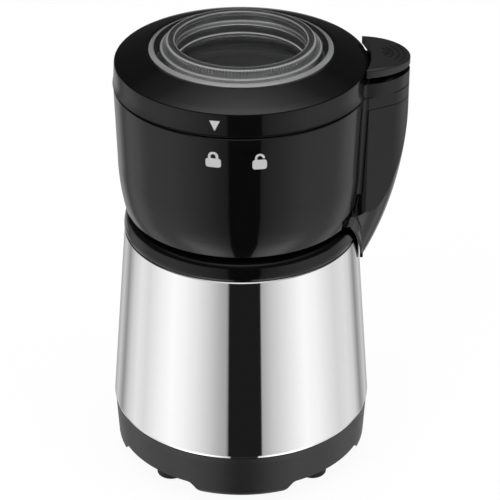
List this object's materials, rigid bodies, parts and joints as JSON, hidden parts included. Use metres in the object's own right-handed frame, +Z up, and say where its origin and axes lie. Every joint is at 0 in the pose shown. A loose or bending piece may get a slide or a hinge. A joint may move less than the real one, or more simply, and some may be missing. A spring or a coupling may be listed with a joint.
{
  "type": "electric spice grinder",
  "caption": "Tall electric spice grinder: steel-clad motor base, lift-off grinding cup with a steel bowl and blade, twist-lock lid with a clear window and a thumb button.",
  "frame": {"origin": "on the drive axis, in the plane of the worktop that the four rubber feet stand on", "axes": "+Z up along the drive axis; -Y is the front, with the marks for the lid's lock; +X runs through the column with the thumb button"},
  "size_m": [0.1322, 0.1196, 0.2045],
  "materials": {
    "gloss_black": "high gloss, moulded",
    "dark_grey_plastic": "satin, fine texture",
    "inner_black_plastic": "satin",
    "button_plastic": "satin",
    "white_nylon": "natural moulded nylon",
    "switch_red": "moulded",
    "fan_plastic": "moulded",
    "rubber_black": "soft, matt",
    "silicone_red": "soft",
    "silicone_grey": "soft",
    "polished_steel": "mirror-polished stainless sheet",
    "bowl_steel": "brushed stainless sheet",
    "blade_steel": "ground stainless",
    "zinc_steel": "zinc-plated fasteners",
    "spring_steel": "drawn wire",
    "shaft_steel": "ground bar",
    "lamination_steel": "stacked electrical sheet",
    "bracket_aluminium": "die cast",
    "copper_wire": "enamelled copper wire",
    "copper_bar": "turned copper",
    "sintered_bronze": "sintered",
    "brass_sheet": "pressed sheet",
    "carbon": "pressed carbon",
    "clear_plastic": "clear moulded plastic, polished"
  },
  "bodies": {
    "base": {"rubber_feet": "rubber_black", "base_ring": "dark_grey_plastic", "bottom_cover": "inner_black_plastic", "bottom_screws": "zinc_steel", "cord_gland": "rubber_black", "steel_shell": "polished_steel", "collar": "gloss_black", "shaft_seal": "silicone_red", "upper_bracket": "bracket_aluminium", "lower_bracket": "bracket_aluminium", "motor_bolts": "zinc_steel", "bracket_screws": "zinc_steel", "motor_bearings": "sintered_bronze", "stator_core": "lamination_steel", "field_coils": "copper_wire", "brush_holders": "brass_sheet", "carbon_brushes": "carbon", "micro_switch": "switch_red"},
    "rotor": {"motor_shaft": "shaft_steel", "rotor_core": "lamination_steel", "rotor_windings": "copper_wire", "commutator": "copper_bar", "cooling_fan": "fan_plastic", "drive_coupler": "white_nylon"},
    "switch_actuator": {"switch_slider": "white_nylon"},
    "cup": {"cup_housing": "gloss_black", "cup_floor": "inner_black_plastic", "cup_screws": "zinc_steel", "grinding_bowl": "bowl_steel", "bowl_gasket": "silicone_red", "shaft_bush": "sintered_bronze", "bowl_nut": "shaft_steel", "fin_cover": "gloss_black", "fin_screws": "zinc_steel", "rod_spring": "spring_steel"},
    "blade_set": {"blade_shaft": "shaft_steel", "blade": "blade_steel", "blade_washer": "shaft_steel", "cap_nut": "shaft_steel", "driven_coupler": "white_nylon"},
    "rod": {"push_rod": "white_nylon"},
    "seal": {"lid_seal": "silicone_grey"},
    "lid": {"lid_ring": "gloss_black", "lid_window": "clear_plastic", "window_gasket": "rubber_black", "button_spring": "spring_steel"},
    "thumb_button": {"button": "button_plastic"}
  },
  "joints": [
    {"name": "motor_spin", "type": "hinge", "parent": "base", "child": "rotor", "pos_m": [0, 0, 0.06], "axis": [0, 0, 1], "continuous": true},
    {"name": "cup_lift", "type": "slide", "parent": "base", "child": "cup", "axis": [0, 0, 1], "range_m": [0, 0.075]},
    {"name": "blade_spin", "type": "hinge", "parent": "cup", "child": "blade_set", "pos_m": [0, 0, 0.13], "axis": [0, 0, 1], "continuous": true},
    {"name": "lid_lift", "type": "slide", "parent": "cup", "child": "seal", "axis": [0, 0, 1], "range_m": [0, 0.06]},
    {"name": "lid_twist", "type": "hinge", "parent": "seal", "child": "lid", "pos_m": [0, 0, 0.19], "axis": [0, 0, 1], "range_deg": [0, 21.5]},
    {"name": "button_press", "type": "slide", "parent": "lid", "child": "thumb_button", "axis": [0, 0, -1], "range_m": [0, 0.0028], "stiffness_N_per_m": 400, "springref_m": -0.003, "deforming": ["button_spring"]},
    {"name": "rod_push", "type": "slide", "parent": "cup", "child": "rod", "axis": [0, 0, -1], "range_m": [0, 0.0028], "stiffness_N_per_m": 300, "springref_m": -0.003, "deforming": ["rod_spring"]},
    {"name": "switch_push", "type": "slide", "parent": "base", "child": "switch_actuator", "axis": [0, 0, -1], "range_m": [0, 0.0028], "stiffness_N_per_m": 200, "springref_m": -0.003}
  ],
  "couplings": [
    {"joint": "blade_spin", "follows": "motor_spin", "ratio": 1},
    {"joint": "rod_push", "follows": "button_press", "ratio": 1},
    {"joint": "switch_push", "follows": "button_press", "ratio": 1}
  ]
}
